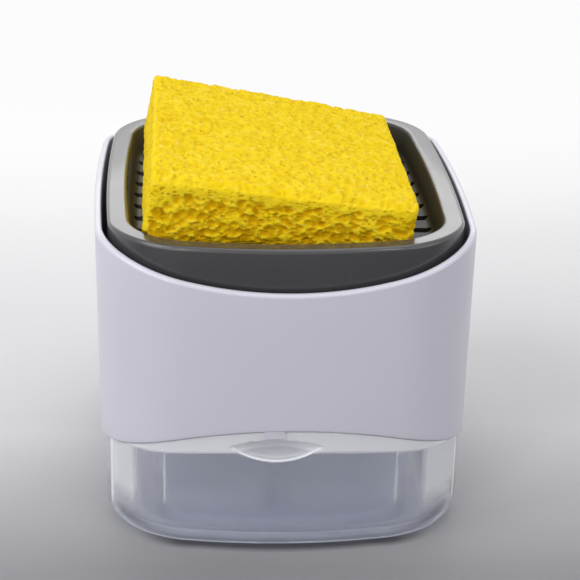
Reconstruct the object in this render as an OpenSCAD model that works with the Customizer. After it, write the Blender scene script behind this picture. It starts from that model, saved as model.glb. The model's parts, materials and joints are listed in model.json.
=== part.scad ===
// Soap pump caddy: a clear tank, a sleeve with a pump in its lid, and a slotted tray that is
// pressed down with the sponge on it. Millimetres, +Z up, the front faces -Y, and the origin is
// the middle of the footprint on the surface that the caddy stands on.

/* [Plan outline] */
// Width across the sleeve's top edge, left to right
body_w = 106; // [100:1:118]
// Depth across the sleeve's top edge, front to back
body_d = 138; // [130:1:156]
// Corner radius of the sleeve seen from above
corner_r = 28.5; // [26:0.5:31]
// How far the left and right sides bow outwards
side_bow = 1; // [0.6:0.1:2]
// How far the front and back bow outwards
end_bow = 2.3; // [1.4:0.1:3.4]

/* [Sleeve] */
// Wall of the sleeve
sleeve_wall = 2; // [1.6:0.1:2.4]
// Inward slope of the sleeve's wall from top to bottom, in degrees
sleeve_draft = 1; // [0.6:0.1:1.4]
// Tray rim above the sleeve's top edge at the left and right
side_reveal = 1.9; // [1:0.1:4]
// Tray rim above the sleeve's top edge in the middle of the front
front_reveal = 11.2; // [8:0.1:13]
// How far the sleeve covers the tank at the left and right
side_cover = 20.7; // [18:0.1:24]
// How far the sleeve covers the tank in the middle of the front
front_cover = 9; // [6:0.1:12]
// Width of the tab in the middle of the sleeve's front edge
sleeve_tab_w = 5.5; // [4:0.5:8]
// How far that tab reaches below the edge
sleeve_tab_h = 2.2; // [1:0.1:2.6]

/* [Tank] */
// Height of the tank
tank_h = 45; // [43:0.5:47]
// Wall of the tank
tank_wall = 2.2; // [1.8:0.1:2.6]
// Inward slope of the tank's wall from top to bottom, in degrees
tank_draft = 1.4; // [0.8:0.1:2]
// Rounding between the tank's wall and its foot
foot_r = 5; // [3.5:0.5:7]
// Width of the ring that the tank stands on
foot_ring_w = 5; // [3:0.5:7]
// Height of the recess inside that ring
foot_recess = 0.8; // [0.4:0.1:1.4]
// Thickness of the tank's floor
floor_t = 2.2; // [1.6:0.1:3]
// Gap between the sleeve and the tank at its tightest
tank_gap = 0.15; // [0.1:0.05:0.3]
// Width of the thumb scoop in the tank's front
scoop_w = 25; // [20:1:30]
// Depth of the thumb scoop
scoop_depth = 5; // [3.5:0.5:6]
// Depth of the scoop's widest line below the sleeve's edge
scoop_below = 4; // [3:0.5:6]
// Drop of the scoop's lower edge below its widest line
scoop_drop = 4.2; // [3:0.2:6]
// Rise of the scoop's upper edge above its widest line
scoop_rise = 2.4; // [1.6:0.2:2.8]

/* [Lid] */
// Thickness of the silicone ring between tank and lid
seal_t = 1.2; // [1:0.1:1.6]
// Thickness of the deck
deck_t = 2; // [1.6:0.1:2.4]
// Height of the lid's outer rim above the deck's underside
lid_rim_h = 5.5; // [4.6:0.1:6]
// Thickness of the lid's rim and plug skirt
lid_wall = 1.6; // [1.2:0.1:2]
// Length of the plug skirt below the deck
plug_h = 14.6; // [13.2:0.1:16]
// Gap between the plug skirt and the tank
plug_gap = 0.4; // [0.3:0.05:0.6]
// Distance of each guide socket from the middle, front and back
guide_y = 38; // [30:1:42]
// Radius of the tray's guide posts
guide_r = 4; // [3:0.5:5]
// Wall of the guide sockets
guide_wall = 2; // [1.5:0.1:2.5]

/* [Tray] */
// Height of the tray's rim above the tank's top edge
rim_rise = 42; // [41:0.5:45]
// Gap between tray and sleeve at the top
tray_gap = 1.45; // [1:0.05:1.8]
// Width of the tray's rim
rim_w = 5.9; // [5:0.1:7]
// Rounding of the rim's two upper edges
rim_r = 1.2; // [0.8:0.1:1.5]
// Height of the tray's outer skirt, from the rim down
skirt_h = 24; // [22:0.5:25]
// Wall of the tray
tray_wall = 2; // [1.6:0.1:2.2]
// Depth of the well below the rim
well_depth = 8.5; // [7.5:0.1:9]
// Radius of the well's rounded foot
well_foot_r = 2.2; // [1.6:0.1:3.4]
// Lean of the well's wall, in degrees
wall_lean = 12; // [8:1:16]
// Distance of the drain slots' ends from the rim's inner edge
slot_inset = 1.6; // [1.2:0.1:3]
// Distance of the first and last slot from the well's front and back
slot_margin = 11.7; // [10.5:0.1:13]
// Width of a drain slot
slot_w = 3.8; // [3:0.1:4.6]
// Number of slot rows
slot_rows = 10; // [6:2:10]
// Width of the solid band in the middle of the tray
band_w = 32; // [30:1:40]
// Width of the web that divides each slot
web_w = 3; // [2:0.5:5]

/* [Nozzle] */
// Diameter of the domed nozzle cap
cap_d = 28; // [24:1:29]
// Height of the dome above the well's floor
cap_rise = 3.8; // [3.4:0.1:4.6]
// Radius of the tube under the cap
cap_tube_r = 7.9; // [7:0.1:8.5]
// Radius of the silicone outlet valve
valve_r = 4.1; // [3:0.1:4.5]
// Thickness of the outlet valve
valve_t = 1.8; // [1.2:0.1:2]

/* [Pump] */
// How far the tray is pressed down
press_travel = 10; // [8:0.5:10.5]
// Radius of the stem
stem_r = 4; // [3.6:0.1:4.2]
// Bore radius of the pump cylinder
bore_r = 6.3; // [6:0.1:6.8]
// Wall of the pump cylinder
housing_wall = 1.3; // [1:0.1:1.6]
// Height of the lid's neck above the deck
neck_rise = 3.8; // [3.4:0.1:4.4]
// Outer radius of the neck
neck_r = 14.2; // [13.6:0.1:15]
// Bore radius of the neck
neck_bore_r = 11; // [10:0.1:11.6]
// Wall of the screw collar
collar_wall = 2.4; // [2:0.1:3]
// Number of grip ribs round the collar
grip_ribs = 32; // [24:4:36]
// How far the grip ribs stand out
grip_rise = 0.5; // [0.3:0.1:0.7]
// Width of a grip rib
grip_w = 1.2; // [0.8:0.1:1.6]
// Plain stretch above and below the grip ribs
grip_margin = 1.2; // [0.8:0.1:2]
// Length of the spring at rest
spring_l = 16.6; // [16.2:0.1:18]
// Spring wire diameter
wire_d = 0.9; // [0.7:0.1:1]
// Number of turns in the spring
spring_turns = 6; // [5:1:6]
// Outer radius of the dip tube
tube_r = 3; // [2.6:0.1:3.2]
// Wall of the dip tube
tube_wall = 0.8; // [0.6:0.1:1]
// Radius of the inlet ball
inlet_ball_r = 2.25; // [2.1:0.05:2.4]
// Radius of the outlet ball
outlet_ball_r = 1.9; // [1.8:0.05:2]

/* [Sponge] */
// Width of the sponge
sponge_w = 72; // [68:1:76]
// Length of the sponge, front to back
sponge_l = 101; // [95:1:106]
// Thickness of the sponge
sponge_t = 13.6; // [12:0.2:20]
// Corner radius of the sponge
sponge_r = 2.5; // [2:0.5:6]
// How far the sponge's lower right edge lies to the left of a centred sponge's
sponge_left = 3; // [1:0.1:4]
// How far the sponge lies in front of the middle
sponge_front = 2.4; // [0:0.1:4]
// How far the sponge is turned clockwise, seen from above, in degrees
sponge_turn = 1.1; // [0:0.1:1.5]
// How far its lower right edge is pressed flat
sponge_press = 0.2; // [0.1:0.1:0.6]

/* [Hidden] */

// How far cutting shapes run past what they cut
over = 1;
// Radial clearance of a sliding fit, and of parts pushed together in one unit
slide_fit = 0.05;
// Gap at a piece that is laid in place
lay_gap = 0.3;

// Corner centres, shared by every outline, which is offset from the sleeve's top edge
corner_x = body_w / 2 - corner_r - side_bow;
corner_y = body_d / 2 - corner_r - end_bow;
// The corner centres lie on these arcs, which the bowed sides are concentric with
side_locus_r = (corner_y ^ 2 + side_bow ^ 2) / (2 * side_bow);
end_locus_r = (corner_x ^ 2 + end_bow ^ 2) / (2 * end_bow);
side_half_angle = asin(corner_y / side_locus_r);
end_half_angle = asin(corner_x / end_locus_r);
corner_angle = 90 - side_half_angle - end_half_angle;
// Sleeve heights, and the wall's place at a height, as a distance outwards from the outline
rim_z = tank_h + rim_rise;
side_window = tank_h - side_cover;
front_window = tank_h - front_cover;
sleeve_side_top = rim_z - side_reveal;
sleeve_front_top = rim_z - front_reveal;
function sleeve_out(z) = (z - sleeve_side_top) * tan(sleeve_draft);
function sleeve_in(z) = sleeve_out(z) - sleeve_wall;

// Tank wall: the sleeve's lower edge just clears it all the way up
tank_top_out = sleeve_in(side_window) - tank_gap;
function tank_out(z) = tank_top_out - (tank_h - z) * tan(tank_draft);
function tank_in(z) = tank_out(z) - tank_wall;
tank_floor_z = foot_recess + floor_t;
foot_inner_r = foot_r - tank_wall + foot_recess;

// Scoop: a lens between two spheres whose centres stand in front of the tank
scoop_z = front_window - scoop_below;
scoop_wall_y = -body_d / 2 - tank_out(scoop_z);
scoop_half = scoop_w / 2;
scoop_stand_off = (scoop_half ^ 2 - scoop_depth ^ 2) / (2 * scoop_depth);
scoop_ring_r = scoop_stand_off + scoop_depth;

// Lid
deck_z = tank_h + seal_t;
deck_top = deck_z + deck_t;
lid_rim_top = deck_z + lid_rim_h;
snap_r = 0.8;
snap_z = lid_rim_top - 2 * snap_r;
plug_z = deck_z - plug_h;
guide_socket_r = guide_r + 2 * slide_fit;
guide_rise = 8.6;
guide_socket_top = deck_top + guide_rise;
guide_engage = 12;
guide_post_z = guide_socket_top - guide_engage;
guide_socket_z = guide_post_z - press_travel - lay_gap;

// Tray
function tray_out(z) = sleeve_in(z) - tray_gap;
rim_in = tray_out(rim_z) - rim_w;
rim_t = rim_r + tray_wall;
well_z = rim_z - well_depth;
// The well's wall runs on smoothly from the rim's rounding above it and into the foot below it
steep_depth = well_depth - well_foot_r * (1 - sin(wall_lean));
steep_top = [rim_in + rim_r * (1 - cos(wall_lean)), rim_z - rim_r * (1 - sin(wall_lean))];
well_foot = steep_top.x - (steep_top.y - rim_z + steep_depth) * tan(wall_lean);
foot_turn = [well_foot - well_foot_r * cos(wall_lean), well_z + well_foot_r];
tray_under = well_z - tray_wall;
skirt_z = rim_z - skirt_h;
slot_half = slot_w / 2;
slot_end = rim_in - slot_inset;
slot_pitch = (body_d + 2 * (slot_end - slot_margin)) / (slot_rows - 1);
band_half = band_w / 2;

// Pump heights, from the neck upwards and from the flange downwards
neck_top = deck_top + neck_rise;
gasket_t = 1.2;
flange_t = 1.4;
flange_top = neck_top + gasket_t + flange_t;
flange_r = neck_r - 2 * lay_gap;
retainer_flange_t = 1.4;
retainer_flange_r = bore_r + 2.5 * housing_wall;
retainer_drop = 3;
collar_plate_t = 2;
collar_in_r = neck_r + 2 * lay_gap;
collar_top = flange_top + retainer_flange_t + collar_plate_t;
retainer_boss_r = stem_r + collar_wall;
retainer_top = collar_top + 2 * lay_gap;
seal_h = 5.2;
head_flange_t = 1;
piston_top = flange_top - retainer_drop;
piston_low = piston_top - seal_h;
head_low = piston_low - head_flange_t;
cage_t = 1.2;
bore_z = head_low - spring_l - cage_t;
housing_r = bore_r + housing_wall;

// Inlet valve: the ball lies on a 45 degree seat
port_r = 1.4;
ball_lift = 1.5;
inlet_ball_gap = 0.5;
inlet_rise = inlet_ball_r * sqrt(2) - port_r + slide_fit;
inlet_seat_z = bore_z - inlet_rise - inlet_ball_r - ball_lift - slide_fit;
inlet_ball_z = inlet_seat_z + inlet_rise;
socket_z = inlet_seat_z - port_r;
socket_depth = 6;
spigot_z = socket_z - socket_depth;
spigot_r = tube_r + housing_wall;
tube_z = tank_floor_z + tube_r * 2 / 3;

// Stem, its outlet valve and the nozzle
nozzle_socket_low = retainer_top + press_travel + lay_gap;
cap_t = 1.8;
stem_top = well_z - cap_t / 2;
stem_bore_r = 2.2;
outlet_ball_gap = 0.4;
outlet_room_r = outlet_ball_r + outlet_ball_gap;
stem_port_r = 1.3;
outlet_rise = outlet_ball_r * sqrt(2) - stem_port_r + slide_fit;
outlet_lift = 1.2;
outlet_seat_z = stem_top - outlet_lift - slide_fit - outlet_ball_r - outlet_rise;
outlet_ball_z = outlet_seat_z + outlet_rise;
head_plug_h = 5;
cap_r = cap_d / 2;
dome_r = (cap_r ^ 2 + cap_rise ^ 2) / (2 * cap_rise);
cap_top = well_z + cap_rise;
valve_z = cap_top - valve_t - lay_gap;
nozzle_r = 1.6;
ring_d = 1;
ring_z = (nozzle_socket_low + well_z) / 2;
hub_r = cap_tube_r + slide_fit + tray_wall;

// Sponge: its lower right edge lies on the well's floor, and its underside leans on the dome
sponge_edge = [sponge_w / 2 - sponge_left, well_z + lay_gap - sponge_press];
dome_to_edge = [sponge_edge.x, sponge_edge.y - cap_top + dome_r];
sponge_tilt = asin((dome_r + lay_gap) / norm(dome_to_edge)) - atan2(dome_to_edge.y, dome_to_edge.x);

// Facets of whole circles, and steps along the outline and round its small edges
$fn = 96;
side_steps = 2;
corner_steps = 11;
end_steps = 3;
edge_steps = 5;
bead_steps = 4;

// Normal directions of a quarter of the outline, from the right side's middle to the back's
quarter = concat(
    [for (i = [0 : side_steps - 1]) side_half_angle * i / side_steps],
    [for (i = [0 : corner_steps - 1]) side_half_angle + corner_angle * i / corner_steps],
    [for (i = [0 : end_steps]) 90 - end_half_angle * (1 - i / end_steps)]
);
quarter_n = len(quarter) - 1;
directions = concat(
    [for (i = [0 : quarter_n - 1]) quarter[i]],
    [for (i = [quarter_n : -1 : 1]) 180 - quarter[i]],
    [for (i = [0 : quarter_n - 1]) 180 + quarter[i]],
    [for (i = [quarter_n : -1 : 1]) 360 - quarter[i]]
);

// Point of the outline whose normal has the direction a, moved outwards by out
function outline_point(a, out) =
    let (
        q = atan2(abs(sin(a)), abs(cos(a))),
        on_side = q < side_half_angle,
        on_end = q > 90 - end_half_angle,
        locus_r = on_side ? side_locus_r : on_end ? end_locus_r : 0,
        centre = on_side ? [corner_x - side_locus_r * cos(side_half_angle), 0]
            : on_end ? [0, corner_y - end_locus_r * cos(end_half_angle)]
            : [corner_x, corner_y],
        p = centre + (locus_r + corner_r + out) * [cos(q), sin(q)]
    )
    [sign(cos(a)) * p.x, sign(sin(a)) * p.y];

// Points of a profile's round stretch: centre, radius, first and last direction, and steps
function bend(x, z, r, from, to, steps = edge_steps) =
    [for (i = [0 : steps]) let (a = from + (to - from) * i / steps) [x + r * cos(a), z + r * sin(a)]];

// Skin over a stack of outlines. Each level is [distance outwards from the outline, height].
// The first and last level are capped, or joined when the stack is a closed band.
module skin(levels, band = false) {
    n = len(directions);
    m = len(levels);
    points = [
        for (level = levels, a = directions)
            let (p = outline_point(a, level[0]))
            [p.x, p.y, level[1]]
    ];
    walls = [
        for (k = [0 : band ? m - 1 : m - 2], i = [0 : n - 1])
            let (j = (i + 1) % n, up = (k + 1) % m)
            [k * n + i, up * n + i, up * n + j, k * n + j]
    ];
    caps = band ? [] : [
        [for (i = [0 : n - 1]) i],
        [for (i = [n - 1 : -1 : 0]) (m - 1) * n + i]
    ];
    polyhedron(points, concat(walls, caps));
}

// Half extent of the outline in x at a distance y from the middle
function outline_x(y, out) =
    abs(y) > corner_y
        ? corner_x + sqrt((corner_r + out) ^ 2 - (abs(y) - corner_y) ^ 2)
        : corner_x - side_locus_r * cos(side_half_angle)
            + sqrt((side_locus_r + corner_r + out) ^ 2 - y ^ 2);

// Bar with round ends from x0 to x1
module rounded_bar(x0, x1, r) {
    translate([x0 + r, -r])
        square([x1 - x0 - 2 * r, 2 * r]);
    for (x = [x0 + r, x1 - r])
        translate([x, 0])
            circle(r);
}

// Turned piece: a profile of [radius, height] points
module turned(points) {
    rotate_extrude()
        polygon(points);
}

// Long cylinder along y that cuts a curved edge: its wall is at z_mid in the middle and at z_side
// at the sides of the body
module edge_cutter(z_mid, z_side) {
    sag = z_side - z_mid;
    r = ((body_w / 2) ^ 2 + sag ^ 2) / (2 * abs(sag));
    translate([0, 0, z_mid + sign(sag) * r])
        rotate([90, 0, 0])
            cylinder(r = r, h = body_d + 2 * over, center = true, $fn = 2 * $fn);
}

// Tank

function tank_levels() =
    let (
        foot_x = tank_out(foot_r) - foot_r,
        ring_x = foot_x - foot_ring_w,
        turn_z = tank_floor_z + foot_inner_r
    )
    concat(
        [[ring_x, foot_recess], [ring_x, 0]],
        bend(foot_x, foot_r, foot_r, -90, 0),
        [[tank_top_out, tank_h], [tank_in(tank_h), tank_h]],
        bend(tank_in(turn_z) - foot_inner_r, turn_z, foot_inner_r, 0, -90)
    );

// Lens between two spheres, grown by `grow` on each
module scoop_lens(grow) {
    lower_lift = (scoop_half ^ 2 - scoop_drop ^ 2) / (2 * scoop_drop);
    upper_lift = (scoop_half ^ 2 - scoop_rise ^ 2) / (2 * scoop_rise);
    translate([0, scoop_wall_y - scoop_stand_off, scoop_z])
        intersection() {
            translate([0, 0, lower_lift])
                sphere(sqrt(scoop_ring_r ^ 2 + lower_lift ^ 2) + grow, $fn = 2 * $fn);
            translate([0, 0, -upper_lift])
                sphere(sqrt(scoop_ring_r ^ 2 + upper_lift ^ 2) + grow, $fn = 2 * $fn);
        }
}

module tank() {
    color([0.86, 0.9, 0.93, 0.4])
        difference() {
            union() {
                skin(tank_levels());
                // Wall behind the scoop
                intersection() {
                    scoop_lens(tank_wall);
                    translate([-body_w / 4, scoop_wall_y + tank_wall / 2, plug_z - tank_h / 4])
                        cube([body_w / 2, body_d / 8, tank_h / 2]);
                }
            }
            scoop_lens(0);
        }
}

module tank_seal() {
    color([0.75, 0.77, 0.8])
        skin([
            [tank_in(tank_h), tank_h], [tank_top_out, tank_h],
            [tank_top_out, deck_z], [tank_in(tank_h), deck_z]
        ], band = true);
}

// Sleeve and lid

// The inner face carries the bead that the lid snaps over
function sleeve_levels() =
    let (low = side_window - over)
    concat(
        [[sleeve_in(low), low], [sleeve_out(low), low], [sleeve_out(rim_z), rim_z], [sleeve_in(rim_z), rim_z]],
        bend(sleeve_in(snap_z), snap_z, snap_r, 90, 270, bead_steps)
    );

module sleeve() {
    tab_y = -body_d / 2 - sleeve_out(front_window);
    color([0.8, 0.79, 0.84])
        union() {
            difference() {
                skin(sleeve_levels(), band = true);
                edge_cutter(front_window, side_window);
                edge_cutter(sleeve_front_top, sleeve_side_top);
            }
            translate([-sleeve_tab_w / 2, tab_y + lay_gap, front_window - sleeve_tab_h])
                cube([sleeve_tab_w, sleeve_wall - 2 * lay_gap, 2 * sleeve_tab_h]);
        }
}

// From the middle of the deck's underside out over the plug skirt and the grooved rim
function lid_levels() =
    let (
        rim_x = sleeve_in(deck_z) - slide_fit,
        rim_top_x = sleeve_in(lid_rim_top) - slide_fit,
        plug_x = tank_in(deck_z) - plug_gap,
        plug_low_x = tank_in(plug_z) - plug_gap
    )
    concat(
        [
            [plug_x - lid_wall, deck_z], [plug_low_x - lid_wall, plug_z],
            [plug_low_x, plug_z], [plug_x, deck_z], [rim_x, deck_z]
        ],
        bend(sleeve_in(snap_z) - slide_fit, snap_z, snap_r, 270, 90, bead_steps),
        [[rim_top_x, lid_rim_top], [rim_top_x - lid_wall, lid_rim_top], [rim_x - lid_wall, deck_top]]
    );

module guide_socket() {
    difference() {
        translate([0, 0, guide_socket_z - guide_wall])
            cylinder(r = guide_socket_r + guide_wall, h = guide_socket_top - guide_socket_z + guide_wall);
        translate([0, 0, guide_socket_z])
            cylinder(r = guide_socket_r, h = guide_socket_top - guide_socket_z + over);
    }
}

module reservoir_lid() {
    color([0.93, 0.93, 0.95])
        difference() {
            union() {
                skin(lid_levels());
                translate([0, 0, deck_z])
                    cylinder(r = neck_r, h = neck_top - deck_z);
                for (y = [-guide_y, guide_y])
                    translate([0, y, 0])
                        guide_socket();
            }
            translate([0, 0, deck_z - over])
                cylinder(r = neck_bore_r, h = neck_top - deck_z + 2 * over);
            for (y = [-guide_y, guide_y])
                translate([0, y, guide_socket_z])
                    cylinder(r = guide_socket_r, h = guide_socket_top);
            // Way round the scoop's inner wall
            translate([-scoop_w * 0.75, -body_d / 2, plug_z - over])
                cube([scoop_w * 1.5, body_d / 2 - guide_y, scoop_z - plug_z + over + 2 * scoop_rise + tank_wall]);
        }
}

// Pump

module pump_collar() {
    collar_low = deck_top + lay_gap;
    collar_h = collar_top - collar_low;
    color([0.9, 0.9, 0.92])
        difference() {
            translate([0, 0, collar_low])
                union() {
                    cylinder(r = collar_in_r + collar_wall, h = collar_h);
                    for (rib = [0 : grip_ribs - 1])
                        rotate([0, 0, rib * 360 / grip_ribs])
                            translate([collar_in_r + collar_wall / 2, -grip_w / 2, grip_margin])
                                cube([collar_wall / 2 + grip_rise, grip_w, collar_h - 2 * grip_margin]);
                }
            translate([0, 0, deck_top - over])
                cylinder(r = collar_in_r, h = collar_top - collar_plate_t - deck_top + over);
            translate([0, 0, deck_top])
                cylinder(r = retainer_boss_r + 2 * slide_fit, h = collar_top);
        }
}

module pump_gasket() {
    color([0.55, 0.57, 0.6])
        translate([0, 0, neck_top])
            difference() {
                cylinder(r = flange_r, h = gasket_t);
                translate([0, 0, -over])
                    cylinder(r = housing_r + slide_fit, h = gasket_t + 2 * over);
            }
}

module pump_housing() {
    color([0.9, 0.92, 0.94])
        turned([
            [bore_r, flange_top], [flange_r, flange_top], [flange_r, neck_top + gasket_t],
            [housing_r, neck_top + gasket_t], [housing_r, bore_z - housing_wall],
            [spigot_r, inlet_seat_z], [spigot_r, spigot_z],
            [tube_r + slide_fit, spigot_z], [tube_r + slide_fit, socket_z],
            [port_r, socket_z], [port_r, inlet_seat_z],
            [inlet_ball_r + inlet_ball_gap, inlet_seat_z + inlet_ball_r + inlet_ball_gap - port_r],
            [inlet_ball_r + inlet_ball_gap, bore_z], [bore_r, bore_z]
        ]);
}

module stem_retainer() {
    color([0.85, 0.86, 0.9])
        turned([
            [stem_r + slide_fit, piston_top], [bore_r - slide_fit, piston_top],
            [bore_r - slide_fit, flange_top], [retainer_flange_r, flange_top],
            [retainer_flange_r, flange_top + retainer_flange_t],
            [retainer_boss_r, flange_top + retainer_flange_t],
            [retainer_boss_r, retainer_top], [stem_r + slide_fit, retainer_top]
        ]);
}

module piston_stem() {
    plug_top = piston_top + head_plug_h;
    color([0.95, 0.95, 0.96])
        turned([
            [stem_bore_r, piston_top], [stem_r, piston_top], [stem_r, stem_top],
            [outlet_room_r, stem_top], [outlet_room_r, outlet_seat_z + outlet_room_r - stem_port_r],
            [stem_port_r, outlet_seat_z], [stem_port_r, plug_top], [stem_bore_r, plug_top]
        ]);
}

module piston_head() {
    neck = stem_bore_r - slide_fit;
    core = stem_r - 2 * lay_gap;
    color([0.93, 0.94, 0.95])
        turned([
            [stem_port_r, head_low], [bore_r - 2 * lay_gap, head_low],
            [bore_r - 2 * lay_gap, piston_low], [core, piston_low],
            [core, piston_top], [neck, piston_top],
            [neck, piston_top + head_plug_h], [stem_port_r, piston_top + head_plug_h]
        ]);
}

module piston_seal() {
    inner = stem_r - 2 * lay_gap + slide_fit;
    waist = (inner + bore_r) / 2;
    lip = bore_r - slide_fit;
    color([0.8, 0.84, 0.88])
        turned([
            [inner, piston_low], [waist, piston_low], [lip - slide_fit, piston_low],
            [lip, piston_low + seal_h / 5], [waist, piston_low + seal_h * 2 / 5],
            [waist, piston_low + seal_h * 3 / 5], [lip, piston_low + seal_h * 4 / 5],
            [lip - slide_fit, piston_top], [inner, piston_top]
        ]);
}

// Point on the spring's centre line: a flat half turn closes each end
function spring_point(turn) =
    let (
        r = bore_r - 2 * lay_gap - wire_d / 2,
        rise = spring_l - wire_d,
        share = min(max((turn - 0.5) / (spring_turns - 1), 0), 1),
        low = bore_z + cage_t + wire_d / 2
    )
    [r * cos(turn * 360), r * sin(turn * 360), low + rise * share];

module pump_spring() {
    steps = 16;
    sides = 8;
    rings = steps * spring_turns;
    points = [
        for (i = [0 : rings], k = [0 : sides - 1])
            let (
                turn = i / steps,
                c = spring_point(turn),
                out = [cos(turn * 360), sin(turn * 360), 0],
                a = k * 360 / sides
            )
            c + wire_d / 2 * (out * cos(a) + [0, 0, sin(a)])
    ];
    faces = concat(
        [[for (k = [0 : sides - 1]) k]],
        [for (i = [0 : rings - 1], k = [0 : sides - 1])
            let (a = i * sides + k, b = i * sides + (k + 1) % sides)
            [a, a + sides, b]],
        [for (i = [0 : rings - 1], k = [0 : sides - 1])
            let (a = i * sides + k, b = i * sides + (k + 1) % sides)
            [b, a + sides, b + sides]],
        [[for (k = [sides - 1 : -1 : 0]) rings * sides + k]]
    );
    color([0.7, 0.71, 0.73])
        polyhedron(points, faces);
}

module ball_cage() {
    hole_r = port_r / 2;
    color([0.88, 0.9, 0.92])
        translate([0, 0, bore_z])
            difference() {
                cylinder(r = bore_r - slide_fit, h = cage_t);
                for (a = [0 : 120 : 240])
                    rotate([0, 0, a])
                        translate([inlet_ball_r - hole_r, 0, -over])
                            cylinder(r = hole_r, h = cage_t + 2 * over);
            }
}

module inlet_ball() {
    color([0.75, 0.76, 0.78])
        translate([0, 0, inlet_ball_z])
            sphere(inlet_ball_r);
}

module outlet_ball() {
    color([0.75, 0.76, 0.78])
        translate([0, 0, outlet_ball_z])
            sphere(outlet_ball_r);
}

module dip_tube() {
    color([0.92, 0.94, 0.96])
        difference() {
            translate([0, 0, tube_z])
                cylinder(r = tube_r, h = socket_z - tube_z);
            translate([0, 0, tube_z - over])
                cylinder(r = tube_r - tube_wall, h = socket_z - tube_z + 2 * over);
            // Slanted mouth, so that the floor can't close it
            translate([0, 0, tube_z])
                rotate([0, 45, 0])
                    translate([tube_r / 2, 0, 0])
                        cube([2 * tube_r, 4 * tube_r, 2 * tube_r], center = true);
        }
}

// Tray

// From the middle of the tray's underside out to the skirt, over the rim and down into the well
function tray_levels() =
    let (
        under_z = rim_z - rim_t,
        skirt_in = tray_out(rim_z) - tray_wall
    )
    concat(
        bend(foot_turn.x, foot_turn.y, well_foot_r + tray_wall, -90, -wall_lean),
        [
            [rim_in + tray_wall, under_z], [skirt_in, under_z],
            [tray_out(skirt_z) - tray_wall, skirt_z], [tray_out(skirt_z), skirt_z]
        ],
        bend(tray_out(rim_z) - rim_r, rim_z - rim_r, rim_r, 0, 90),
        bend(rim_in + rim_r, rim_z - rim_r, rim_r, 90, 180 - wall_lean),
        bend(foot_turn.x, foot_turn.y, well_foot_r, -wall_lean, -90)
    );

// Hollow of the well, lay_gap clear of its walls, from the floor to above the sponge
function well_hollow_levels() =
    concat(
        bend(foot_turn.x, foot_turn.y, well_foot_r - lay_gap, -90, -wall_lean),
        [[rim_in - lay_gap, rim_z], [rim_in - lay_gap, rim_z + sponge_w]]
    );

// The drain slots of one side: each runs from the middle band into the well's rounded foot
module slot_rows() {
    middle = (slot_rows - 1) / 2;
    for (row = [0 : slot_rows - 1]) {
        y = (row - middle) * slot_pitch;
        tip = outline_x(abs(y) + slot_half, slot_end);
        web = (band_half + tip) / 2;
        translate([0, y]) {
            rounded_bar(band_half, web - web_w / 2, slot_half);
            rounded_bar(web + web_w / 2, tip, slot_half);
        }
    }
}

module tray() {
    slot_top = rim_z - steep_depth;
    color([0.24, 0.235, 0.25])
        difference() {
            union() {
                skin(tray_levels());
                translate([0, 0, nozzle_socket_low])
                    cylinder(r = hub_r, h = well_z - nozzle_socket_low);
                for (y = [-guide_y, guide_y])
                    translate([0, y, guide_post_z])
                        cylinder(r = guide_r, h = well_z - tray_wall / 2 - guide_post_z);
            }
            for (side = [0, 1])
                mirror([side, 0, 0])
                    translate([0, 0, tray_under - over])
                        linear_extrude(slot_top - tray_under + over)
                            slot_rows();
            translate([0, 0, nozzle_socket_low - over])
                cylinder(r = cap_tube_r + slide_fit, h = rim_z - nozzle_socket_low);
        }
}

module nozzle_cap() {
    color([0.3, 0.3, 0.32])
        difference() {
            union() {
                // Dome
                intersection() {
                    translate([0, 0, cap_top - dome_r])
                        sphere(dome_r, $fn = 2 * $fn);
                    translate([0, 0, well_z])
                        cylinder(r = cap_r + over, h = cap_rise + over);
                }
                translate([0, 0, nozzle_socket_low])
                    cylinder(r = cap_tube_r, h = well_z - nozzle_socket_low + cap_rise / 2);
            }
            // Stem socket, ring groove, passage and valve pocket
            translate([0, 0, nozzle_socket_low - over])
                cylinder(r = stem_r + slide_fit, h = stem_top - nozzle_socket_low + over);
            translate([0, 0, ring_z - ring_d * 0.6])
                cylinder(r = stem_r + 2 * slide_fit + ring_d + slide_fit, h = ring_d * 1.2);
            translate([0, 0, stem_top - over])
                cylinder(r = nozzle_r, h = cap_rise + cap_t);
            translate([0, 0, valve_z])
                cylinder(r = valve_r + slide_fit, h = valve_t + over);
        }
}

module nozzle_valve() {
    slit_w = lay_gap;
    color([0.7, 0.72, 0.75])
        translate([0, 0, valve_z])
            difference() {
                cylinder(r = valve_r, h = valve_t);
                for (a = [0, 90])
                    rotate([0, 0, a])
                        translate([-nozzle_r, -slit_w / 2, -over])
                            cube([2 * nozzle_r, slit_w, valve_t + 2 * over]);
            }
}

module stem_o_ring() {
    color([0.15, 0.15, 0.16])
        translate([0, 0, ring_z])
            rotate_extrude()
                translate([stem_r + 2 * slide_fit + ring_d / 2, 0])
                    circle(ring_d / 2, $fn = 32);
}

// The block leans to the right, and the well's rounded foot presses its lower corners in
module sponge() {
    color([0.9, 0.76, 0.1])
        intersection() {
            skin(well_hollow_levels());
            translate([0, -sponge_front, 0])
                rotate([0, 0, -sponge_turn])
                    translate([sponge_edge.x, 0, sponge_edge.y])
                        rotate([0, sponge_tilt, 0])
                            translate([-sponge_w / 2, 0, 0])
                                sponge_block();
        }
}

module sponge_block() {
    linear_extrude(sponge_t) {
        square([sponge_w - 2 * sponge_r, sponge_l], center = true);
        square([sponge_w, sponge_l - 2 * sponge_r], center = true);
        for (x = [-1, 1], y = [-1, 1])
            translate([x * (sponge_w / 2 - sponge_r), y * (sponge_l / 2 - sponge_r)])
                circle(sponge_r);
    }
}

tank();
tank_seal();
sleeve();
reservoir_lid();
pump_collar();
pump_gasket();
pump_housing();
stem_retainer();
piston_stem();
piston_head();
piston_seal();
pump_spring();
ball_cage();
inlet_ball();
outlet_ball();
dip_tube();
tray();
nozzle_cap();
nozzle_valve();
stem_o_ring();
sponge();
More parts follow.
